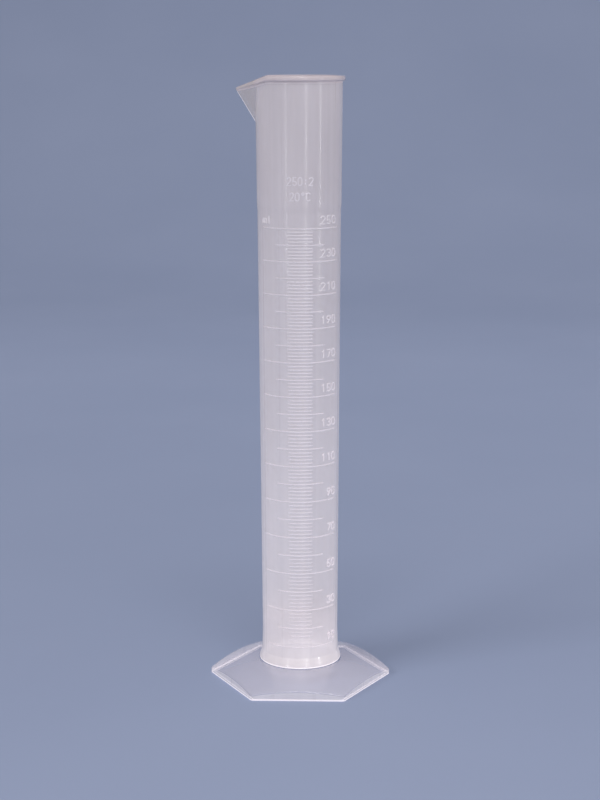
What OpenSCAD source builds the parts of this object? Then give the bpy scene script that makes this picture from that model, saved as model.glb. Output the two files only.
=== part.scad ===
// Tall 250 ml measuring cylinder in milky polypropylene, for mixing darkroom chemicals.
// Millimetres. The origin is the middle of the foot's base plane and +Z is up.
// The foot's corners lie on the X axis, the scale faces -Y and the spout points to -X.

/* [Tube] */
// Height from the table to the top of the rim
total_h = 315; // [300:1:335]
// Outer radius at the bottom of the barrel, just above its flared skirt
barrel_low_r = 19.79; // [19.5:0.05:20]
// Outer radius at the top of the barrel, under the shoulder
barrel_high_r = 21.24; // [21:0.05:21.4]
// Height of the shoulder, where the barrel steps out into the neck
shoulder_z = 247; // [246:0.5:248]
// Outer radius of the neck just above the shoulder
neck_low_r = 21.5; // [21.3:0.05:21.6]
// Outer radius of the neck under the rim
neck_high_r = 22; // [21.8:0.05:22.2]
// Radius of the bore at the inside floor
bore_low_r = 17.55; // [17.4:0.05:17.7]
// Radius of the bore at the rim
bore_high_r = 20.4; // [20.2:0.05:20.5]
// Height of the inside floor
floor_z = 11.05; // [10.9:0.05:12]

/* [Rim and spout] */
// Height of the bead round the rim
lip_h = 2.8; // [2:0.1:3.5]
// Outer radius of the bead
lip_r = 23.45; // [23:0.05:24]
// Distance from the axis to the tip of the spout
spout_reach = 31.6; // [29:0.1:33]
// How far the tip of the spout lies below the rim
spout_drop = 5.7; // [3:0.1:7]
// How far below the rim the spout's keel leaves the wall
spout_depth = 23; // [16:0.5:26]
// Height of the lip at the tip of the spout
spout_lip_h = 1.4; // [1:0.1:2]

/* [Foot] */
// Width of the hexagon across its flats
foot_flats = 82.9; // [76:0.1:90]
// Radius of the hexagon's corners
foot_corner_r = 2; // [1:0.25:4]
// Height of a side wall at its middle
foot_side_h = 5.1; // [4.5:0.1:6.5]
// Radius of the domed top
dome_r = 137; // [130:1:160]
// Thickness of the foot's walls and top
foot_t = 2; // [1.5:0.1:2.4]
// Turn of the tube in its foot, in degrees
tube_turn = 3; // [0:1:15]

/* [Scale] */
// First volume marked, in millilitres
first_ml = 10; // [10:20:50]
// Last volume marked, in millilitres
last_ml = 250; // [210:20:250]
// Volume between fine lines, in millilitres
fine_ml = 2; // [1, 2, 5]
// Height that the lines and figures stand out of the wall
relief = 0.3; // [0.2:0.05:0.4]
// Width of a line
line_w = 0.6; // [0.4:0.05:0.7]
// Half of the arc that a fine line covers, in degrees
fine_half_arc = 17; // [12:1:22]
// Half of the arc that a ten millilitre line covers, in degrees
ten_half_arc = 35; // [25:1:36]
// Half of the arc that a numbered line covers, in degrees
long_half_arc = 59; // [56:1:64]
// Height of the figures
figure_h = 4.4; // [3.4:0.1:4.6]

/* [Hidden] */
$fn = 96;
milky = [0.80, 0.80, 0.83, 0.55];
frosted = [0.95, 0.94, 0.96, 0.9];

// Foot: a spherical cap on a hexagon, cut flat in the middle where the tube sits
flat_r = foot_flats / 2;
dome_z = foot_side_h - sqrt(pow(dome_r, 2) - pow(flat_r, 2));
seat_r = 21.9;
seat_z = dome_z + sqrt(pow(dome_r, 2) - pow(seat_r, 2));
edge_chamfer = 0.7;
collar_z = 5;
collar_t = 2;
corner_steps = 4;

// Lower end of the tube: a skirt that sits on the foot, and a spigot in its collar
skirt_r = 21.5;
skirt_h = 1;
skirt_round = 0.5;
flare_z = seat_z + 6.8;
spigot_r = 19.2;
spigot_t = 2;
spigot_len = 4.2;
floor_t = 2;
floor_round = 3;
fit_gap = 0.05;
arc_steps = 5;

// Upper end of the tube
neck_z = shoulder_z + 5;
lip_z = total_h - lip_h;
lip_round = 1.1;
spout_t = 1.4;
channel_inset = 0.2;
keel_r = 0.5;
keel_setback = 0.2;
lip_tip_r = 0.8;
overcut = 1;

// Straight sides of the spout's lip: tangents from the bead to the rounded tip
lip_tip_x = spout_reach - lip_tip_r;
lip_tangent = acos((lip_r - lip_tip_r) / lip_tip_x);
hinge_x = lip_r * cos(lip_tangent);
lip_run = spout_reach - hinge_x;

// Figures: a stroke runs down the middle of each one. The numerals end one above another, this far to
// the right of the scale's middle.
stroke_w = 0.55;
figure_w = 2.5;
figure_gap = 1.15;
figure_lift = 1.9;
bowl_steps = 8;
numerals_right = 17.5;
unit_left_arc = -58;
capacity_w = 1.9;
capacity_gap = 0.9;
capacity_row_gap = 3.2;

numbered_ml = 20;
ten_ml = 10;
volumes = [for (v = [first_ml : fine_ml : last_ml]) v];
fine_volumes = [for (v = volumes) if (v % ten_ml != 0) v];
numbered_volumes = [for (v = [first_ml : numbered_ml : last_ml]) v];
ten_volumes = [for (v = [first_ml + ten_ml : numbered_ml : last_ml]) v];

// Radius at height z of a wall that runs from [r, z] point a to point b
function cone_r(a, b, z) = a[0] + (b[0] - a[0]) * (z - a[1]) / (b[1] - a[1]);
function barrel_radius(z) = cone_r([barrel_low_r, flare_z], [barrel_high_r, shoulder_z], z);
function neck_radius(z) = cone_r([neck_low_r, neck_z], [neck_high_r, lip_z], z);
function bore_radius(z) = cone_r([bore_low_r, floor_z], [bore_high_r, total_h], z);

// Height at which the tapered bore holds a volume, from the volume of a cone's frustum
bore_slope = (bore_high_r - bore_low_r) / (total_h - floor_z);
function filled_radius(ml) = pow(pow(bore_low_r, 3) + 3 * bore_slope * ml * 1000 / PI, 1 / 3);
function mark_z(ml) = floor_z + (filled_radius(ml) - bore_low_r) / bore_slope;

// Points of an elliptical arc
function arc(cx, cy, rx, ry, from, to, steps) =
    [for (i = [0 : steps]) let (a = from + (to - from) * i / steps) [cx + rx * cos(a), cy + ry * sin(a)]];

// Hexagon with rounded corners, corners on the X axis
function rounded_hexagon(inradius, corner) = [
    for (i = [0 : 5])
        let (reach = (inradius - corner) / cos(30), a = 60 * i)
            each arc(reach * cos(a), reach * sin(a), corner, corner, a - 30, a + 30, corner_steps)
];

// ---- Tube ----

function skirt_outline() = concat(
    arc(skirt_r - skirt_round, seat_z + skirt_round, skirt_round, skirt_round, -90, 0, arc_steps),
    [[skirt_r, seat_z + skirt_h], [barrel_low_r, flare_z]]
);

function lip_outline() = concat(
    [[neck_high_r, lip_z]],
    arc(lip_r - lip_round, lip_z + lip_round, lip_round, lip_round, -90, 0, arc_steps),
    arc(lip_r - lip_round, total_h - lip_round, lip_round, lip_round, 0, 90, arc_steps)
);

// Outside of the tube, with no bore yet
module tube_body() {
    spigot_z = seat_z - spigot_len;
    rotate_extrude()
        polygon(concat(
            [[0, floor_z - floor_t], [spigot_r - spigot_t, floor_z - floor_t]],
            [[spigot_r - spigot_t, spigot_z], [spigot_r, spigot_z], [spigot_r, seat_z]],
            skirt_outline(),
            [[barrel_high_r, shoulder_z], [neck_low_r, neck_z]],
            lip_outline(),
            [[0, total_h]]
        ));
}

module bore() {
    rotate_extrude()
        polygon(concat(
            [[0, floor_z]],
            arc(bore_low_r - floor_round, floor_z + floor_round, floor_round, floor_round, -90, 0, arc_steps),
            [[bore_radius(total_h + overcut), total_h + overcut], [0, total_h + overcut]]
        ));
}

// Beak that runs from its keel on the wall to the tip, tangent to a disc of radius disc_r
module beak(disc_r, inset, top) {
    tip_x = spout_reach - keel_setback - keel_r - inset;
    tip_z = total_h - spout_drop - spout_lip_h / 2;
    hull() {
        translate([0, 0, lip_z])
            cylinder(r = disc_r, h = top - lip_z, $fn = 64);
        translate([-tip_x, 0, tip_z])
            cylinder(r = keel_r, h = top - tip_z, $fn = 24);
        translate([-neck_low_r + inset + keel_r, 0, total_h - spout_depth + inset])
            sphere(r = keel_r, $fn = 24);
    }
}

// Lip of the spout, seen from above
module lip_plan() {
    chord = lip_r * sin(lip_tangent);
    polygon(concat(
        [[-hinge_x, chord]],
        arc(-lip_tip_x, 0, lip_tip_r, lip_tip_r, 180 - lip_tangent, 180 + lip_tangent, arc_steps),
        [[-hinge_x, -chord]]
    ));
}

// Room above a plane that starts where the lip leaves the round rim and falls by drop at the tip
module above_slope(z, drop) {
    translate([-hinge_x, 0, z])
        rotate([0, -atan(drop / lip_run), 0])
            translate([-spout_reach, -lip_r, 0])
                cube([spout_reach, 2 * lip_r, spout_reach]);
}

module spout_lip() {
    intersection() {
        translate([0, 0, total_h - spout_depth])
            linear_extrude(height = spout_depth)
                lip_plan();
        above_slope(lip_z, spout_drop + spout_lip_h - lip_h);
    }
}

module tube() {
    color(milky)
        rotate([0, 0, tube_turn])
            difference() {
                union() {
                    tube_body();
                    beak(neck_low_r, 0, total_h);
                    spout_lip();
                }
                bore();
                beak(bore_high_r - channel_inset, spout_t, total_h + 2 * overcut);
                above_slope(total_h, spout_drop);
            }
}

// ---- Foot ----

module dome(radius) {
    translate([0, 0, dome_z])
        sphere(r = radius, $fn = 240);
}

// Ring that takes the sharp edge off the top of one side wall
module edge_cutter() {
    edge_r = sqrt(pow(dome_r, 2) - pow(flat_r, 2)) - edge_chamfer;
    reach = 3 * edge_chamfer;
    translate([0, 0, dome_z])
        rotate([-90, 0, 0])
            rotate_extrude(angle = 40, start = 250, $fn = 360)
                polygon([
                    [edge_r - overcut, flat_r + overcut],
                    [edge_r + reach, flat_r - reach],
                    [edge_r + reach, flat_r + overcut]
                ]);
}

module foot() {
    hollow_corner_r = foot_corner_r / 2;
    color(milky)
        difference() {
            union() {
                difference() {
                    intersection() {
                        linear_extrude(height = seat_z)
                            polygon(rounded_hexagon(flat_r, foot_corner_r));
                        dome(dome_r);
                    }
                    intersection() {
                        translate([0, 0, -overcut])
                            linear_extrude(height = seat_z)
                                polygon(rounded_hexagon(flat_r - foot_t, hollow_corner_r));
                        dome(dome_r - foot_t);
                    }
                    for (i = [0 : 5])
                        rotate([0, 0, 60 * i])
                            edge_cutter();
                }
                translate([0, 0, collar_z])
                    cylinder(r = spigot_r + fit_gap + collar_t, h = seat_z - foot_t / 2 - collar_z);
            }
            cylinder(r = spigot_r + fit_gap, h = seat_z + overcut);
        }
}

// ---- Scale ----

// One raised line round the barrel, with sloping edges and its back on the wall
module scale_line(z, half_arc) {
    low = z - line_w / 2;
    high = z + line_w / 2;
    bevel = line_w / 5;
    rotate([0, 0, tube_turn - 90 - half_arc])
        rotate_extrude(angle = 2 * half_arc)
            polygon([
                [barrel_radius(low), low],
                [barrel_radius(low + bevel) + relief, low + bevel],
                [barrel_radius(high - bevel) + relief, high - bevel],
                [barrel_radius(high), high]
            ]);
}

module scale_lines(marked, half_arc) {
    color(frosted)
        for (v = marked)
            scale_line(mark_z(v), half_arc);
}

module fine_lines() {
    scale_lines(fine_volumes, fine_half_arc);
}

module ten_lines() {
    scale_lines(ten_volumes, ten_half_arc);
}

module numbered_lines() {
    scale_lines(numbered_volumes, long_half_arc);
}

// ---- Figures ----

// Middle lines of each character, in a cell one wide and one high; a loop ends where it starts
function top_bowl(from, to) = arc(0.5, 0.74, 0.5, 0.26, from, to, bowl_steps);
function low_bowl(from, to) = arc(0.5, 0.27, 0.5, 0.27, from, to, bowl_steps);
function arch(x) = concat(arc(x + 0.3, 0.42, 0.3, 0.2, 180, 0, bowl_steps), [[x + 0.6, 0]]);
function character_paths(c) =
    c == "0" ? [concat(top_bowl(0, 180), low_bowl(180, 360), [top_bowl(0, 180)[0]])] :
    c == "1" ? [[[0.2, 0.78], [0.6, 1], [0.6, 0]]] :
    c == "2" ? [concat(top_bowl(170, -30), [[0, 0], [1, 0]])] :
    c == "3" ? [top_bowl(160, -90), low_bowl(90, -160)] :
    c == "4" ? [[[1, 0.3], [0, 0.3], [0.7, 1], [0.7, 0]]] :
    c == "5" ? [concat([[0.95, 1], [0.15, 1], [0.08, 0.48]], low_bowl(110, -160))] :
    c == "6" ? [low_bowl(0, 360), [[0.8, 1], [0.04, 0.36]]] :
    c == "7" ? [[[0, 1], [1, 1], [0.4, 0]]] :
    c == "8" ? [top_bowl(0, 360), low_bowl(0, 360)] :
    c == "9" ? [top_bowl(0, 360), [[0.96, 0.66], [0.2, 0]]] :
    c == "C" ? [concat(top_bowl(20, 180), low_bowl(180, 340))] :
    c == "o" ? [arc(0.5, 0.87, 0.3, 0.13, 0, 360, bowl_steps)] :
    c == ":" ? [[[0.5, 0.12], [0.5, 0.26]], [[0.5, 0.6], [0.5, 0.74]]] :
    c == "m" ? [[[0, 0], [0, 0.62]], arch(0), arch(0.6)] :
    [[[0.5, 0], [0.5, 1]]];

function unit(v) = v / norm(v);
function left_of(v) = [-v[1], v[0]];
function last(list) = list[len(list) - 1];
function is_loop(path) = norm(path[0] - last(path)) < 0.001;

// Points beside a path, a distance away from it, mitred where it bends
function beside(path, away) = [
    for (i = [0 : len(path) - 1])
        let (
            first_step = unit(path[1] - path[0]),
            last_step = unit(last(path) - path[len(path) - 2]),
            before = i > 0 ? unit(path[i] - path[i - 1]) : is_loop(path) ? last_step : first_step,
            after = i < len(path) - 1 ? unit(path[i + 1] - path[i]) : is_loop(path) ? first_step : before,
            side = unit(left_of(before) + left_of(after)),
            mitre = max(side * left_of(before), 0.5)
        )
            path[i] + side * away / mitre
];

function reversed(list) = [for (i = [len(list) - 1 : -1 : 0]) list[i]];

// An open stroke is a ribbon, and a loop, which runs anticlockwise, is a ring
module stroke(path) {
    if (is_loop(path)) {
        difference() {
            polygon(beside(path, -stroke_w / 2));
            polygon(beside(path, stroke_w / 2));
        }
    } else {
        polygon(concat(beside(path, stroke_w / 2), reversed(beside(path, -stroke_w / 2))));
    }
}

module character(c, width) {
    for (path = character_paths(c))
        stroke([for (p = path) [(p[0] - 0.5) * width, p[1] * (figure_h - stroke_w) + stroke_w / 2]]);
}

// Row of characters round the tube; middle is the arc from the scale's middle to the row's middle
module figures(row, z, middle, radius, width = figure_w, gap = figure_gap) {
    pitch = (width + gap) / radius * 180 / PI;
    for (i = [0 : len(row) - 1])
        rotate([0, 0, tube_turn - 90 + middle + (i - (len(row) - 1) / 2) * pitch])
            translate([radius - overcut, 0, z])
                rotate([90, 0, 90])
                    linear_extrude(height = 2 * overcut)
                        character(row[i], width);
}

// Thin tapered sleeve between two heights, its inside on the wall
module sleeve(low, high) {
    rotate_extrude()
        polygon([low, [low[0] + relief, low[1]], [high[0] + relief, high[1]], high]);
}

module barrel_sleeve(low, high) {
    sleeve([barrel_radius(low), low], [barrel_radius(high), high]);
}

module numerals() {
    color(frosted)
        for (v = numbered_volumes) {
            row = str(v);
            z = mark_z(v) + figure_lift;
            radius = barrel_radius(z);
            half_row = (len(row) * (figure_w + figure_gap) - figure_gap) / 2 / radius * 180 / PI;
            intersection() {
                figures(row, z, asin(numerals_right / radius) - half_row, radius);
                barrel_sleeve(z - overcut / 2, z + figure_h + overcut / 2);
            }
        }
}

module unit_mark() {
    z = mark_z(last_ml) + figure_lift;
    radius = barrel_radius(z);
    color(frosted)
        intersection() {
            figures("ml", z, unit_left_arc + figure_w / radius * 180 / PI, radius);
            barrel_sleeve(z - overcut / 2, z + figure_h + overcut / 2);
        }
}

module capacity_row(row, z) {
    figures(row, z, 0, neck_radius(z), capacity_w, capacity_gap);
}

// Capacity and division on one row, and the temperature that the scale is made for below it
module capacity_mark() {
    low_row = neck_z + figure_lift;
    high_row = low_row + figure_h + capacity_row_gap;
    top = high_row + figure_h + overcut;
    color(frosted)
        intersection() {
            union() {
                capacity_row(str(last_ml, ":", fine_ml), high_row);
                capacity_row("20oC", low_row);
            }
            sleeve([neck_radius(neck_z), neck_z], [neck_radius(top), top]);
        }
}

tube();
foot();
fine_lines();
ten_lines();
numbered_lines();
numerals();
unit_mark();
capacity_mark();
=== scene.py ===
import math
from collections import namedtuple

import bpy
from mathutils import Matrix, Vector


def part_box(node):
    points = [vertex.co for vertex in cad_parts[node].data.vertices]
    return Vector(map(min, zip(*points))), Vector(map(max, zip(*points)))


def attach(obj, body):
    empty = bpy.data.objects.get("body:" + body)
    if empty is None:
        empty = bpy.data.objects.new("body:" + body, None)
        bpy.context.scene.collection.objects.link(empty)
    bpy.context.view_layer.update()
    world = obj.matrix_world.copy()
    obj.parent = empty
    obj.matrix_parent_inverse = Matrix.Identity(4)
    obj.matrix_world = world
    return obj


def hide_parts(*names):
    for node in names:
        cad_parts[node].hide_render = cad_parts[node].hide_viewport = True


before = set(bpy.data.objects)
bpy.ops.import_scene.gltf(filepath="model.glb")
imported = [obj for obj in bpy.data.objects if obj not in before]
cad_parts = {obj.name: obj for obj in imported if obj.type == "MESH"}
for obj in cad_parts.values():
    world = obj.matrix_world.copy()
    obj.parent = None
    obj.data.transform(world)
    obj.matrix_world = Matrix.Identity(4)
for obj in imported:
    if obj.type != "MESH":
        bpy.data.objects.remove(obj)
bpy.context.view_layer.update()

MM = 0.001


# ---------------------------------------------------------------- sizes, in millimetres
# The tube and the foot repeat the driving sizes of the CAD model. Both are rebuilt here as smooth
# thin-walled shells with rounded edges, inside the box of the CAD solids that they stand for. A pair is
# the radius and the height of one end of a tapering wall. KEEL_ROUND is an angle in radians.

SEAT_GAP = 0.03
RIM_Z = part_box("tube")[1].z / MM
SKIRT_BOTTOM_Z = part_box("foot")[1].z / MM + SEAT_GAP
SPIGOT_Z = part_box("tube")[0].z / MM
TUBE_TURN = math.radians(3)

FLARE_H = 6.77
BARREL_LOW = (19.79, SKIRT_BOTTOM_Z + FLARE_H)
BARREL_HIGH = (21.24, 247.0)
NECK_LOW = (21.5, 252.0)
NECK_HIGH = (22.0, 312.2)
BORE_LOW = (17.55, 11.05)
BORE_HIGH = (20.4, RIM_Z)
RELIEF_CLEARANCE = 0.03

SKIRT_R = 21.5
SKIRT_H = 1.0
SKIRT_ROUND = 0.5
SKIRT_TOP_BLEND = 0.3
FLARE_BLEND = 1.6
SPIGOT_R = 19.2
SPIGOT_INNER_R = 17.2
SPIGOT_ROUND = 0.4
FLOOR_UNDER_Z = 9.05
FLOOR_UNDER_ROUND = 1
FLOOR_ROUND = 3.0
GATE_R = 1.6
GATE_DEPTH = 0.35

LIP_R = 23.45
LIP_H = 2.8
LIP_ROUND = 1.1
LIP_INNER_ROUND = 0.5
LIP_CORNER_SHARE = 0.45
LIP_UNDER_SHARE = 0.8
SPOUT_REACH = 31.55
SPOUT_DROP = 5.7
SPOUT_LIP_H = 1.4
SPOUT_WALL = 1.4
CHANNEL_INSET = 0.2
SPOUT_BLEND = 0.35
SPOUT_DEPTH = 23.0
KEEL_LOW = (21.83, RIM_Z - SPOUT_DEPTH)
KEEL_TIP_R = 31.4
KEEL_ROUND = 0.035
SPOUT_START_Z = 287.0

FOOT_FLAT_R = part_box("foot")[1].y / MM
FOOT_CORNER_R = 2.0
FOOT_LEAST_CORNER_R = 0.35
FOOT_SIDE_H = 5.1
FOOT_DOME_R = 137.0
FOOT_WALL = 2.0
FOOT_EDGE_ROUND = 0.6
FOOT_RIM_H = 0.9
FOOT_BOTTOM_ROUND = 0.3
SEAT_R = 21.9
SEAT_EDGE = 0.5
SOCKET_R = 19.25
SOCKET_ROUND = 0.4
COLLAR_R = 21.25
COLLAR_Z = 5.0
COLLAR_ROUND = 0.3
COLLAR_MARGIN = 1.5
HOLLOW_ROUND = 0.8

SHARP_ANGLE = math.radians(38)


# ---------------------------------------------------------------- small maths

def on_cone(low, high, z):
    """Radius at height z of a wall that runs from (radius, height) low to high."""
    return low[0] + (high[0] - low[0]) * (z - low[1]) / (high[1] - low[1])


def mix(a, b, t):
    return a + (b - a) * t


def smooth_max(a, b, width):
    """The larger of two numbers, blended over width where they are close."""
    h = max(width - abs(a - b), 0) / width
    return max(a, b) + h * h * width / 4


def arc(cx, cy, radius, start, end, steps):
    """Points on an arc, angles in degrees."""
    turns = [math.radians(mix(start, end, i / steps)) for i in range(steps + 1)]
    return [(cx + radius * math.cos(t), cy + radius * math.sin(t)) for t in turns]


# ---------------------------------------------------------------- meshes

def mesh_from_rows(name, stretches, loop=False):
    """Closed mesh from stretches of rows of points, each row running round the axis. A stretch also names
    the material that leads up to its rows. With loop, the last row joins the first; otherwise the first
    and last rows are single points, the poles."""
    rows = [row for _, stretch in stretches for row in stretch]
    materials = [material for material, stretch in stretches for _ in stretch]
    verts = []
    starts = []
    for row in rows:
        starts.append(len(verts))
        verts += [Vector(p) * MM for p in row]
    faces = []
    slots = []
    pairs = list(zip(range(len(rows)), range(1, len(rows))))
    if loop:
        pairs.append((len(rows) - 1, 0))
    for low, high in pairs:
        n_low, n_high = len(rows[low]), len(rows[high])
        count = max(n_low, n_high)
        for i in range(count):
            j = (i + 1) % count
            quad = (starts[high] + i % n_high, starts[high] + j % n_high,
                    starts[low] + j % n_low, starts[low] + i % n_low)
            faces.append([v for k, v in enumerate(quad) if v not in quad[:k]])
            slots.append(materials[max(low, high)])
    mesh = bpy.data.meshes.new(name)
    mesh.from_pydata(verts, [], faces)
    kinds = list(dict.fromkeys(materials))
    for kind in kinds:
        mesh.materials.append(kind)
    mesh.polygons.foreach_set("material_index", [kinds.index(material) for material in slots])
    mesh.polygons.foreach_set("use_smooth", [True] * len(mesh.polygons))
    mesh.set_sharp_from_angle(angle=SHARP_ANGLE)
    mesh.update()
    obj = bpy.data.objects.new(name, mesh)
    bpy.context.scene.collection.objects.link(obj)
    return obj


# ---------------------------------------------------------------- tube

def tangent_angle(radius, tip):
    """Angle from the tip to where the tangents from a rounded tip touch a circle."""
    return KEEL_ROUND + math.acos(radius / tip)


def lip_plan_r(phi):
    """Outer radius of the lip, phi from the spout's direction: a circle, then tangents to the tip."""
    beta = tangent_angle(LIP_R, SPOUT_REACH)
    turn = math.hypot(phi, KEEL_ROUND)
    if turn >= beta:
        return LIP_R
    return LIP_R / math.cos(turn - beta)


def rim_progress(phi):
    """0 on the round rim, rising to 1 at the tip of the spout."""
    hinge = LIP_R * math.cos(tangent_angle(LIP_R, SPOUT_REACH))
    forward = lip_plan_r(phi) * math.cos(phi)
    return max(0.0, min(1.0, (forward - hinge) / (SPOUT_REACH - hinge)))


def rim_top(phi):
    """Height of the rim, which falls towards the spout's tip."""
    return RIM_Z - SPOUT_DROP * rim_progress(phi)


def lip_height(phi):
    """Height of the lip itself, which thins towards the spout's tip."""
    return mix(LIP_H, SPOUT_LIP_H, rim_progress(phi))


def flank_r(phi, z, inset, limit):
    """Radius of the spout's flat flanks, or of the channel between them where inset is the wall. They
    leave a round wall, of radius limit at the rim, along its tangents."""
    tip_z = RIM_Z - SPOUT_DROP - SPOUT_LIP_H
    keel_slope = (KEEL_TIP_R - KEEL_LOW[0]) / (tip_z - KEEL_LOW[1])
    keel_r = KEEL_LOW[0] + keel_slope * (z - KEEL_LOW[1])
    rim_keel_r = KEEL_LOW[0] + keel_slope * (NECK_HIGH[1] - KEEL_LOW[1])
    beta = tangent_angle(NECK_HIGH[0], rim_keel_r)
    lean = math.cos(beta - KEEL_ROUND)
    away = min(lean * keel_r - inset * math.hypot(1, keel_slope * lean), limit)
    return away / math.cos(min(math.hypot(phi, KEEL_ROUND) - beta, 0.0))


def outer_wall_r(phi, z):
    """Radius of the outside, set back a little so that the scale's relief stands clear of it."""
    if z <= BARREL_HIGH[1]:
        return on_cone(BARREL_LOW, BARREL_HIGH, z) - RELIEF_CLEARANCE
    if z <= NECK_LOW[1]:
        t = (z - BARREL_HIGH[1]) / (NECK_LOW[1] - BARREL_HIGH[1])
        return mix(BARREL_HIGH[0], NECK_LOW[0], t * t * (3 - 2 * t)) - RELIEF_CLEARANCE
    wall = on_cone(NECK_LOW, NECK_HIGH, z) - RELIEF_CLEARANCE
    return smooth_max(wall, flank_r(phi, z, 0, NECK_HIGH[0]), SPOUT_BLEND)


def inner_wall_r(phi, z):
    """Radius of the bore and of the spout's channel."""
    wall = on_cone(BORE_LOW, BORE_HIGH, z)
    return smooth_max(wall, flank_r(phi, z, SPOUT_WALL, BORE_HIGH[0] - CHANNEL_INSET), SPOUT_BLEND)


def lip_section(phi):
    """(radius, height) points of the bead in one radial plane, from under it to just inside the bore. Its
    rounds shrink where the lip is thin or stands out little, so that they never meet."""
    top = rim_top(phi)
    bottom = top - lip_height(phi)
    outside = lip_plan_r(phi)
    wall = outer_wall_r(phi, bottom)
    corner = min(LIP_ROUND, LIP_CORNER_SHARE * lip_height(phi))
    under = min(corner, LIP_UNDER_SHARE * (outside - wall))
    inside = inner_wall_r(phi, top)
    points = [(wall, bottom)]
    points += arc(outside - under, bottom + under, under, -90, 0, 5)
    points += arc(outside - corner, top - corner, corner, 0, 90, 6)
    points += arc(inside + LIP_INNER_ROUND, top - LIP_INNER_ROUND, LIP_INNER_ROUND, 90, 180, 4)
    return points


def tube_columns():
    """Angles round the tube from the spout's direction, closer together on the spout."""
    fine, coarse, half_spout = 0.7, 2.0, 56
    near = [i * fine for i in range(-int(half_spout / fine), int(half_spout / fine) + 1)]
    gap = 360 + near[0] - near[-1]
    count = round(gap / coarse)
    far = [near[-1] + gap * i / count for i in range(1, count)]
    return [math.radians(a - 360 if a > 180 else a) for a in near + far]


def tube_section(phi):
    """(radius, height) points of one half of the tube's section, from pole to pole, in five stretches:
    the underside, the outside, the bead's underside, the bead and the inside."""
    wall_steps, spout_steps, down_facing = 24, 26, 4
    under_radii, floor_radii = (GATE_R, 6, 12), (10, 5, 0)
    shoulder_heights = (248, 249, 250, 251, 252)
    neck_heights = (256, 262, 268, 274, 280, SPOUT_START_Z)
    flare_end = BARREL_LOW[1] + FLARE_BLEND
    bore_end = BORE_LOW[1] + FLOOR_ROUND
    lip = lip_section(phi)

    under = [(0, FLOOR_UNDER_Z + GATE_DEPTH), (GATE_R * 0.6, FLOOR_UNDER_Z + GATE_DEPTH)]
    under += [(r, FLOOR_UNDER_Z) for r in under_radii]
    under += arc(SPIGOT_INNER_R - FLOOR_UNDER_ROUND, FLOOR_UNDER_Z - FLOOR_UNDER_ROUND, FLOOR_UNDER_ROUND,
                 90, 0, 4)
    under += arc(SPIGOT_INNER_R + SPIGOT_ROUND, SPIGOT_Z + SPIGOT_ROUND, SPIGOT_ROUND, 180, 270, 3)
    under += arc(SPIGOT_R - SPIGOT_ROUND, SPIGOT_Z + SPIGOT_ROUND, SPIGOT_ROUND, -90, 0, 3)
    under += [(SPIGOT_R, SKIRT_BOTTOM_Z)]

    outside = arc(SKIRT_R - SKIRT_ROUND, SKIRT_BOTTOM_Z + SKIRT_ROUND, SKIRT_ROUND, -90, 0, 6)
    outside += flare_points()
    heights = [mix(flare_end, BARREL_HIGH[1], i / wall_steps) for i in range(1, wall_steps + 1)]
    heights += shoulder_heights + neck_heights
    heights += [mix(SPOUT_START_Z, lip[0][1], i / spout_steps) for i in range(1, spout_steps)]
    outside += [(outer_wall_r(phi, z), z) for z in heights]

    heights = [mix(lip[-1][1], SPOUT_START_Z, i / spout_steps) for i in range(1, spout_steps + 1)]
    heights += [mix(SPOUT_START_Z, bore_end, i / wall_steps) for i in range(1, wall_steps)]
    inside = [(inner_wall_r(phi, z), z) for z in heights]
    inside += arc(BORE_LOW[0] - FLOOR_ROUND, bore_end, FLOOR_ROUND, 0, -90, 8)
    inside += [(r, BORE_LOW[1]) for r in floor_radii]
    return under, outside, lip[:down_facing], lip[down_facing:], inside


def flare_points():
    """Blend from the skirt's band into its straight flare, and from that into the barrel."""
    start = (SKIRT_R, SKIRT_BOTTOM_Z + SKIRT_H)
    end = BARREL_LOW
    points = [(SKIRT_R, start[1] - SKIRT_TOP_BLEND)]
    for t in (0.1, 0.25, 0.4, 0.55, 0.7, 0.8):
        points.append((mix(start[0], end[0], t), mix(start[1], end[1], t)))
    return points


def make_tube(materials):
    """The tube as one closed mesh, with one material for each stretch of its section."""
    columns = tube_columns()
    sections = [tube_section(phi) for phi in columns]
    stretches = []
    for part, material in enumerate(materials):
        rows = []
        for k in range(len(sections[0][part])):
            row = []
            for phi, section in zip(columns, sections):
                angle = math.pi + TUBE_TURN - phi
                r, z = section[part][k]
                row.append((r * math.cos(angle), r * math.sin(angle), z))
            rows.append(row)
        stretches.append((material, rows))
    under, inside = stretches[0][1], stretches[-1][1]
    under[0] = under[0][:1]
    inside[-1] = inside[-1][:1]
    return mesh_from_rows("tube_shell", stretches)


# ---------------------------------------------------------------- foot

def dome_z(r, shell=0.0):
    """Height of the foot's spherical top at radius r, or of its underside, shell below it."""
    centre = FOOT_SIDE_H - math.sqrt(FOOT_DOME_R ** 2 - FOOT_FLAT_R ** 2)
    return centre + math.sqrt((FOOT_DOME_R - shell) ** 2 - r ** 2)


def hexagon(inset):
    """Points of the foot's outline moved in by inset, clockwise from above: arcs round the corners,
    and even steps along the sides."""
    corner_steps, side_steps = 6, 22
    corner = max(FOOT_CORNER_R - inset, FOOT_LEAST_CORNER_R)
    reach = (FOOT_FLAT_R - inset - corner) / math.cos(math.radians(30))
    points = []
    for i in range(6):
        turn = -60 * i
        cx, cy = reach * math.cos(math.radians(turn)), reach * math.sin(math.radians(turn))
        bend = arc(cx, cy, corner, turn + 30, turn - 30, corner_steps)
        after = turn - 60
        nx, ny = reach * math.cos(math.radians(after)), reach * math.sin(math.radians(after))
        end = arc(nx, ny, corner, after + 30, after - 30, corner_steps)[0]
        side = [(mix(bend[-1][0], end[0], s / side_steps), mix(bend[-1][1], end[1], s / side_steps))
                for s in range(1, side_steps)]
        points += bend + side
    return points


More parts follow.
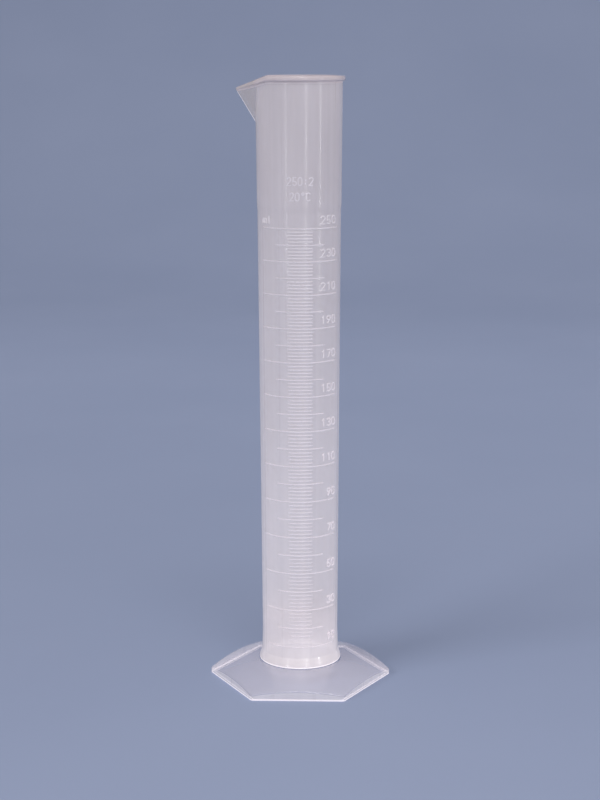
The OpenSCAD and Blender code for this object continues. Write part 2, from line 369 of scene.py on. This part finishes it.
def hexagon_row(inset, height):
    """One row of the foot: the outline moved in by inset, at a height that may depend on its radius."""
    return [(x, y, height(math.hypot(x, y))) for x, y in hexagon(inset)]


def circle_row(r, z):
    """A round row whose points lie in the same directions as the outline's."""
    angles = [math.atan2(y, x) for x, y in hexagon(0)]
    return [(r * math.cos(a), r * math.sin(a), z) for a in angles]


def spread_rows(outer, r, shell, steps):
    """Rows from a hexagonal row in to a circle of radius r, laid on the dome or its underside."""
    inner = circle_row(r, 0)
    rows = []
    for i in range(1, steps + 1):
        t = i / steps
        row = []
        for (x, y, _), (u, v, _) in zip(outer, inner):
            px, py = mix(x, u, t), mix(y, v, t)
            row.append((px, py, dome_z(math.hypot(px, py), shell)))
        rows.append(row)
    return rows


def make_foot(plate_look, wall_look, rim_highlight_look, socket_look, under_look):
    """The foot as one closed loop of rows: rim, outer walls, domed top, socket, collar, underside of the
    dome and inner walls."""
    top_steps, under_steps = 14, 12
    edge = arc(0, 0, FOOT_BOTTOM_ROUND, -90, 0, 4)
    rim_rows = []
    for x, z in reversed(edge):
        inset = FOOT_WALL - FOOT_BOTTOM_ROUND + x
        rim_rows.append(hexagon_row(inset, lambda r, z=z: z + FOOT_BOTTOM_ROUND))
    for x, z in edge:
        rim_rows.append(hexagon_row(FOOT_BOTTOM_ROUND - x, lambda r, z=z: z + FOOT_BOTTOM_ROUND))

    rim_rows.append(hexagon_row(0, lambda r: FOOT_RIM_H))
    wall_rows = []
    for t in (0.3, 0.65, 1.0):
        wall_rows.append(
            hexagon_row(0, lambda r, t=t: mix(FOOT_RIM_H, dome_z(r) - FOOT_EDGE_ROUND, t))
        )
    top_rows = []
    for x, z in arc(0, 0, FOOT_EDGE_ROUND, 12, 84, 6):
        top_rows.append(hexagon_row(FOOT_EDGE_ROUND - x, lambda r, z=z: dome_z(r) - FOOT_EDGE_ROUND + z))
    top_rows += spread_rows(top_rows[-1], SEAT_R, 0, top_steps)

    seat_z = dome_z(SEAT_R)
    collar_low = COLLAR_Z + COLLAR_ROUND
    socket = arc(SOCKET_R + SOCKET_ROUND, seat_z - SOCKET_ROUND, SOCKET_ROUND, 90, 180, 3)
    socket += arc(SOCKET_R + COLLAR_ROUND, collar_low, COLLAR_ROUND, 180, 270, 3)
    socket += arc(COLLAR_R - COLLAR_ROUND, collar_low, COLLAR_ROUND, -90, 0, 3)
    socket_rows = [circle_row(SEAT_R - SEAT_EDGE, seat_z)]
    socket_rows += [circle_row(r, z) for r, z in socket]

    under_z = dome_z(COLLAR_R, FOOT_WALL)
    fillet = arc(COLLAR_R + HOLLOW_ROUND, under_z - HOLLOW_ROUND, HOLLOW_ROUND, 180, 90, 4)
    under_rows = [circle_row(r, z) for r, z in fillet]
    hollow_edge = hexagon_row(FOOT_WALL + HOLLOW_ROUND, lambda r: dome_z(r, FOOT_WALL))
    under_rows += reversed(spread_rows(hollow_edge, COLLAR_R + COLLAR_MARGIN, FOOT_WALL, under_steps))
    for x, z in arc(0, 0, HOLLOW_ROUND, 90, 0, 4):
        under_rows.append(
            hexagon_row(FOOT_WALL + HOLLOW_ROUND - x,
                        lambda r, z=z: dome_z(r, FOOT_WALL) - HOLLOW_ROUND + z)
        )
    stretches = [(rim_highlight_look, rim_rows), (wall_look, wall_rows), (plate_look, top_rows),
                 (socket_look, socket_rows), (under_look, under_rows)]
    return mesh_from_rows("foot_shell", stretches, loop=True)


# ---------------------------------------------------------------- materials

# Colours on the plastic: the low barrel, the skirt, the neck, the rim bead, the spout, the foot's top and
# the bright edges. The neck's, the bead's and the spout flanks' colours are darker than the plastic's, as
# painted shade, and the bright edges' white is a painted highlight. RELIEF is the scale high on the tube
# and RELIEF_GLOW its painted glow at the bottom. BLACK is no glow. The cloth's colour runs between its
# two.
PALE = (0.88, 0.822, 0.845, 1)
ROSE = (0.80, 0.735, 0.76, 1)
SHADED_NECK = (0.62, 0.556, 0.565, 1)
BEAD = (0.60, 0.517, 0.53, 1)
DARK = (0.49, 0.432, 0.41, 1)
PLATE = (0.74, 0.695, 0.78, 1)
WHITE = (1.0, 0.93, 0.96, 1)
RELIEF = (0.82, 0.78, 0.81, 1)
RELIEF_GLOW = (0.06, 0.056, 0.058, 1)
BLACK = (0.0, 0.0, 0.0, 1)
CLOTH_DARK = (0.250, 0.290, 0.410, 1)
CLOTH_LIGHT = (0.266, 0.306, 0.428, 1)

LEAST_ALPHA, MOST_ALPHA = 0.02, 0.98
PLASTIC_IOR = 1.49


class Nodes:
    """Short forms for building one material's node tree."""

    def __init__(self, name):
        self.material = bpy.data.materials.new(name)
        self.material.use_nodes = True
        self.tree = self.material.node_tree
        self.shader = self.tree.nodes["Principled BSDF"]

    def add(self, kind, **values):
        """A new node with some of its settings."""
        node = self.tree.nodes.new(kind)
        for key, value in values.items():
            setattr(node, key, value)
        return node

    def feed(self, node, **inputs):
        """Links or sets a node's inputs by name, with _ for a space, or by place: i0 is the first."""
        for key, value in inputs.items():
            socket = node.inputs[int(key[1:])] if key[1:].isdigit() else node.inputs[key.replace("_", " ")]
            if isinstance(value, bpy.types.NodeSocket):
                self.tree.links.new(value, socket)
            else:
                socket.default_value = value
        return node

    def maths(self, operation, a, b=0.0, clamp=False):
        node = self.add("ShaderNodeMath", operation=operation, use_clamp=clamp)
        return self.feed(node, i0=a, i1=b).outputs[0]

    def position(self):
        return self.add("ShaderNodeTexCoord").outputs["Object"]

    def height(self):
        return self.feed(self.add("ShaderNodeSeparateXYZ"), i0=self.position()).outputs["Z"]

    def along(self, x, y):
        """Signed distance of the point from the tube's axis, in a level direction."""
        node = self.feed(self.add("ShaderNodeVectorMath", operation="DOT_PRODUCT"), i0=self.position(),
                         i1=(x, y, 0))
        return node.outputs["Value"]

    def toward_spout(self):
        return self.along(-math.cos(TUBE_TURN), -math.sin(TUBE_TURN))

    def off_spout_plane(self):
        """Distance from the upright plane through the axis and the spout's tip."""
        return self.maths("ABSOLUTE", self.along(math.sin(TUBE_TURN), -math.cos(TUBE_TURN)))

    def stretched(self, x, y, z):
        mapping = self.feed(self.add("ShaderNodeMapping"), Vector=self.position(), Scale=(x, y, z))
        return mapping.outputs[0]

    def noise(self, vector, scale, detail=3.0, roughness=0.5):
        node = self.feed(self.add("ShaderNodeTexNoise"), Vector=vector, Scale=scale, Detail=detail,
                         Roughness=roughness)
        return node.outputs["Fac"]

    def remap(self, value, from_low, from_high, to_low, to_high, kind="LINEAR"):
        """The value moved from one range to another, and held inside it."""
        node = self.add("ShaderNodeMapRange", clamp=True, interpolation_type=kind)
        return self.feed(node, i0=value, i1=from_low, i2=from_high, i3=to_low, i4=to_high).outputs[0]

    def fade_in(self, distance, start, end):
        """0 up to start, 1 from end on, in millimetres."""
        return self.remap(distance, start * MM, end * MM, 0.0, 1.0, "SMOOTHSTEP")

    def fade_out(self, distance, start, end):
        """1 up to start, 0 from end on, in millimetres."""
        return self.remap(distance, start * MM, end * MM, 1.0, 0.0, "SMOOTHSTEP")

    def blend(self, factor, first, second):
        node = self.add("ShaderNodeMix", data_type="RGBA")
        for socket, value in ((node.inputs[0], factor), (node.inputs[6], first), (node.inputs[7], second)):
            if isinstance(value, bpy.types.NodeSocket):
                self.tree.links.new(value, socket)
            else:
                socket.default_value = value
        return node.outputs[2]

    def bump(self, height, strength, distance, normal=None):
        node = self.feed(self.add("ShaderNodeBump"), Strength=strength, Distance=distance, Height=height)
        if normal is not None:
            self.tree.links.new(normal, node.inputs["Normal"])
        return node.outputs[0]


# Somewhere on a surface that is treated apart: a function from Nodes to a 0-to-1 socket, what it adds to
# the opacity, the colour it turns to and how far, and how much it glows.
Accent = namedtuple("Accent", "where opacity colour share glow")


def thick_floor(n):
    """The foot of the tube, where the skirt and the solid floor behind it hide what is inside."""
    return n.fade_out(n.height(), start=22, end=46)


def foot_edge_highlight(n):
    """The lowest edge of the foot, where a painted highlight makes it glow."""
    return n.fade_out(n.height(), start=0.3, end=1.0)


def skirt_edge_highlight(n):
    """The lowest edge of the tube's skirt, where a painted highlight whitens it and makes it glow."""
    return n.fade_out(n.height(), start=10.3, end=10.9)


def thin_shaded_flanks(n):
    """The thin walls of the spout, outside the round of the neck, which painted shade darkens."""
    return n.fade_in(n.toward_spout(), start=20.5, end=22.2)


def spout_lip(n):
    """The part of the bead that runs along the spout."""
    return n.fade_in(n.toward_spout(), start=20.5, end=23.5)


def keel_highlight(n):
    """The ridge down the front of the spout, where its two flanks meet, drawn as a painted highlight line.
    """
    ridge = n.fade_out(n.off_spout_plane(), start=0.4, end=0.9)
    return n.maths("MULTIPLY", ridge, n.fade_in(n.toward_spout(), start=21.8, end=22.4))


def milky_plastic(name, opacity, edge_gain, low_colour, high_colour, neck_fade=0.0, roughness=0.3,
                  coat=0.5, coat_ior=1.5, grain=0.1, marks=0.03, accents=()):
    """Natural polypropylene: milky, satin-glossy and a little cloudy. It hides more where it is seen
    edge-on. Towards the rim it takes high_colour and, by neck_fade, hides less."""
    n = Nodes(name)
    rise = n.remap(n.height(), 0.0, RIM_Z * MM, 0.0, 1.0)
    cloud = n.noise(n.stretched(1, 1, 0.3), scale=42.0, detail=4.0)
    draw_marks = n.noise(n.stretched(1, 1, 0.008), scale=190.0, detail=2.0)
    speckle = n.noise(n.position(), scale=2400.0, detail=2.0)
    tone = n.maths("ADD", rise, n.remap(cloud, 0.3, 0.7, -0.12, 0.12), clamp=True)
    colour = n.blend(tone, low_colour, high_colour)

    facing = n.feed(n.add("ShaderNodeLayerWeight"), Blend=0.5).outputs["Facing"]
    alpha = n.maths("ADD", opacity, n.maths("MULTIPLY", n.maths("POWER", facing, 3.0), edge_gain))
    alpha = n.maths("ADD", alpha, n.remap(draw_marks, 0.3, 0.7, -marks, marks))
    alpha = n.maths("SUBTRACT", alpha, n.maths("MULTIPLY", rise, neck_fade))

    light = BLACK
    for accent in accents:
        where = accent.where(n)
        alpha = n.maths("ADD", alpha, n.maths("MULTIPLY", where, accent.opacity))
        if accent.share:
            colour = n.blend(n.maths("MULTIPLY", where, accent.share), colour, accent.colour)
        if accent.glow:
            light = n.blend(n.maths("MULTIPLY", where, accent.glow), light, WHITE)
    alpha = n.maths("MAXIMUM", n.maths("MINIMUM", alpha, MOST_ALPHA), LEAST_ALPHA)

    n.feed(n.shader, Emission_Color=light)
    n.shader.inputs["Emission Strength"].default_value = 1.0

    rough = n.remap(draw_marks, 0.3, 0.7, roughness - 0.05, roughness + 0.05)
    waves = n.bump(draw_marks, strength=0.06, distance=0.0002)
    n.feed(n.shader, Base_Color=colour, Roughness=rough, Alpha=alpha,
           Normal=n.bump(speckle, strength=grain, distance=0.00004, normal=waves))
    n.shader.inputs["IOR"].default_value = PLASTIC_IOR
    n.shader.inputs["Specular IOR Level"].default_value = 0.6
    n.shader.inputs["Coat Weight"].default_value = coat
    n.shader.inputs["Coat Roughness"].default_value = 0.11
    n.shader.inputs["Coat IOR"].default_value = coat_ior
    return n.material


def raised_plastic(name, low_opacity, high_opacity):
    """The scale's relief: the same plastic, thicker and frosted, so it reads a little whiter. The lines
    are fainter low on the tube, where the wall behind them is thicker."""
    n = Nodes(name)
    speckle = n.noise(n.position(), scale=900.0, detail=3.0)
    rise = n.remap(n.height(), 20 * MM, 260 * MM, 0.0, 1.0)
    light = n.remap(speckle, 0.3, 0.7, -0.1, 0.1)
    colour = n.blend(n.maths("ADD", rise, light, clamp=True), WHITE, RELIEF)
    # Painted glow: the lines low on the tube glow faintly so that they stand out.
    glow = n.blend(rise, RELIEF_GLOW, BLACK)
    rough = n.remap(speckle, 0.3, 0.7, 0.38, 0.52)
    opacity = n.remap(rise, 0.0, 1.0, low_opacity, high_opacity)
    n.feed(n.shader, Base_Color=colour, Roughness=rough, Emission_Color=glow, Alpha=opacity,
           Normal=n.bump(speckle, strength=0.3, distance=0.00008))
    n.shader.inputs["Emission Strength"].default_value = 1.0
    return n.material


def floor_material():
    """A plain, matt, pale blue-grey cloth."""
    n = Nodes("backdrop_cloth")
    weave = n.noise(n.position(), scale=900.0, detail=2.0)
    patch = n.noise(n.position(), scale=3.0, detail=3.0)
    spread = n.remap(patch, 0.3, 0.7, 0.0, 1.0)
    n.feed(n.shader, Base_Color=n.blend(spread, CLOTH_DARK, CLOTH_LIGHT),
           Normal=n.bump(weave, strength=0.15, distance=0.0003))
    n.shader.inputs["Roughness"].default_value = 0.95
    n.shader.inputs["Specular IOR Level"].default_value = 0.0
    return n.material


def use_material(obj, material):
    obj.data.materials.clear()
    obj.data.materials.append(material)


# ---------------------------------------------------------------- the object

tube = make_tube((
    milky_plastic("tube_underside", opacity=0.05, edge_gain=0.1, low_colour=PALE, high_colour=PALE,
                  roughness=0.4, coat=0.0),
    # Painted shade: the outside's colour turns greyer towards the neck, which gets less light.
    milky_plastic("tube_outside", opacity=0.50, edge_gain=0.34, low_colour=PALE, high_colour=SHADED_NECK,
                  neck_fade=0.10, accents=(
                      Accent(thick_floor, opacity=0.40, colour=ROSE, share=1.0, glow=0.0),
                      # Painted highlight: the skirt's lowest edge turns white and glows.
                      Accent(skirt_edge_highlight, opacity=0.3, colour=WHITE, share=1.0, glow=0.3),
                      # The spout's thin flanks are a little clearer, and darker as painted shade.
                      Accent(thin_shaded_flanks, opacity=-0.08, colour=DARK, share=0.8, glow=0.0),
                      # Painted highlight: a white, glowing line down the keel.
                      Accent(keel_highlight, opacity=0.7, colour=WHITE, share=1.0, glow=0.15),
                  )),
    # Painted shadow: a darker, more opaque band under the bead.
    milky_plastic("tube_under_bead_shadow", opacity=0.60, edge_gain=0.2, low_colour=BEAD, high_colour=BEAD,
                  coat=0.0),
    # The bead's colour is darker than the plastic's, as painted shade; along the spout it is darker still
    # and a little clearer.
    milky_plastic("tube_bead", opacity=0.60, edge_gain=0.3, low_colour=BEAD, high_colour=BEAD,
                  roughness=0.2, coat=1.0,
                  accents=(Accent(spout_lip, opacity=-0.1, colour=DARK, share=0.6, glow=0.0),)),
    # Painted shade: the inside also turns greyer towards the neck.
    milky_plastic("tube_inside", opacity=0.13, edge_gain=0.0, low_colour=PALE, high_colour=SHADED_NECK, coat=0.0,
                  # Painted shade: the inside of the spout's flanks is darker.
                  accents=(Accent(thin_shaded_flanks, opacity=-0.05, colour=DARK, share=0.9, glow=0.0),)),
))
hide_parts("tube")
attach(tube, "root")

foot = make_foot(
    plate_look=milky_plastic("foot_plate", opacity=0.40, edge_gain=0.25, low_colour=PLATE,
                             high_colour=PLATE, roughness=0.14, coat=1.0, coat_ior=1.9, grain=0.02,
                             marks=0.0),
    wall_look=milky_plastic("foot_wall", opacity=0.60, edge_gain=0.25, low_colour=PALE, high_colour=PALE,
                            grain=0.05),
    # Painted highlight: the foot's bottom edge is white, nearly opaque and glows.
    rim_highlight_look=milky_plastic("foot_rim_highlight", opacity=0.85, edge_gain=0.1, low_colour=WHITE, high_colour=WHITE,
                           accents=(Accent(foot_edge_highlight, opacity=0.1, colour=WHITE, share=0.0, glow=0.25),)),
    socket_look=milky_plastic("foot_socket", opacity=0.02, edge_gain=0.0, low_colour=PLATE,
                              high_colour=PLATE, coat=0.0),
    under_look=milky_plastic("foot_underside", opacity=0.10, edge_gain=0.1, low_colour=PLATE,
                             high_colour=PLATE, coat=0.0, marks=0.0),
)
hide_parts("foot")
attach(foot, "root")

long_lines = raised_plastic("raised_long_lines", low_opacity=0.18, high_opacity=0.26)
fine_lines = raised_plastic("raised_fine_lines", low_opacity=0.09, high_opacity=0.33)
figures = raised_plastic("raised_figures", low_opacity=0.38, high_opacity=0.36)
for node, material in {
    "ten_lines": long_lines, "numbered_lines": long_lines, "fine_lines": fine_lines,
    "numerals": figures, "unit_mark": figures, "capacity_mark": figures,
}.items():
    use_material(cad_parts[node], material)


# ---------------------------------------------------------------- floor, lights and camera

def make_backdrop():
    """Floor that sweeps up behind the object in one piece."""
    half_width, front, back, bend_r, height = 4.0, -3.0, 3.0, 1.7, 4.0
    profile = [(front, 0.0), (0.0, 0.0)]
    profile += [(back - bend_r + x, bend_r + y) for x, y in arc(0, 0, bend_r, -90, 0, 24)]
    profile.append((back, height))
    verts = [(side * half_width, y, z) for y, z in profile for side in (-1, 1)]
    faces = [(2 * i, 2 * i + 1, 2 * i + 3, 2 * i + 2) for i in range(len(profile) - 1)]
    mesh = bpy.data.meshes.new("backdrop")
    mesh.from_pydata(verts, [], faces)
    mesh.polygons.foreach_set("use_smooth", [True] * len(mesh.polygons))
    obj = bpy.data.objects.new("backdrop", mesh)
    bpy.context.scene.collection.objects.link(obj)
    use_material(obj, floor_material())


def area_light(name, azimuth, elevation, distance, width, height, power, aim, gloss=True, diffuse=True,
               shadow=True):
    """Soft light that looks at aim from an azimuth, right of the camera positive, and an elevation.
    Without gloss it isn't mirrored in surfaces; without diffuse it is only mirrored. Without shadow it
    shines through the thin walls, as light scattered by the plastic does."""
    data = bpy.data.lights.new(name, "AREA")
    data.shape = "RECTANGLE"
    data.size, data.size_y = width, height
    data.energy = power
    data.use_shadow = shadow
    light = bpy.data.objects.new(name, data)
    a, e = math.radians(azimuth), math.radians(elevation)
    away = Vector((math.sin(a) * math.cos(e), -math.cos(a) * math.cos(e), math.sin(e)))
    light.location = aim + away * distance
    light.rotation_euler = away.to_track_quat("Z", "Y").to_euler()
    light.visible_glossy = gloss
    light.visible_diffuse = diffuse
    bpy.context.scene.collection.objects.link(light)


def make_camera():
    """The camera stands 0.87 m in front of the object, a little above the rim, and looks slightly down."""
    azimuth, side, distance, height = math.radians(1.85), 0.0002, 0.8747, 0.3280
    pitch, roll = math.radians(11.546), math.radians(-0.118)
    lens, sensor_width, farthest = 77.39, 36, 20
    data = bpy.data.cameras.new("camera")
    data.sensor_width = sensor_width
    data.lens = lens
    data.clip_end = farthest
    camera = bpy.data.objects.new("camera", data)
    level = Matrix.Rotation(math.pi / 2 - pitch, 4, "X") @ Matrix.Rotation(roll, 4, "Z")
    camera.matrix_world = (
        Matrix.Rotation(azimuth, 4, "Z") @ Matrix.Translation((side, -distance, height)) @ level
    )
    bpy.context.scene.collection.objects.link(camera)
    bpy.context.scene.camera = camera


def make_world():
    """Even light from all round."""
    world = bpy.data.worlds.new("studio")
    world.use_nodes = True
    background = world.node_tree.nodes["Background"]
    background.inputs["Color"].default_value = (1.0, 0.98, 1.0, 1)
    background.inputs["Strength"].default_value = 0.36
    bpy.context.scene.world = world


make_backdrop()
middle = Vector((0, 0, 0.16))
backdrop_middle = Vector((0, 2.5, 0.5))
area_light("key", azimuth=-52, elevation=26, distance=2.4, width=1.1, height=1.1, power=30, aim=middle,
           gloss=False)
area_light("fill", azimuth=64, elevation=26, distance=2.4, width=1.4, height=1.4, power=35, aim=middle,
           gloss=False, shadow=False)
area_light("backdrop_wash", azimuth=0, elevation=25, distance=2.0, width=2.6, height=0.7, power=12,
           aim=backdrop_middle, gloss=False)
area_light("overhead", azimuth=5, elevation=62, distance=1.8, width=0.9, height=0.35, power=9, aim=middle)

# Upright strips that are only seen as the streaks down the tube: azimuth, width and power
for side, (azimuth, width, power) in {
    "right": (59.7, 0.035, 1.1), "middle": (20, 0.09, 1.0), "left": (-33.4, 0.035, 0.8),
}.items():
    area_light(side + "_streak", azimuth, elevation=0, distance=1.3, width=width, height=0.36, power=power,
               aim=Vector((0, 0, 0.12)), diffuse=False)
make_world()
make_camera()
bpy.context.scene.view_settings.view_transform = "Standard"
bpy.context.scene.cycles.transparent_max_bounces = 24
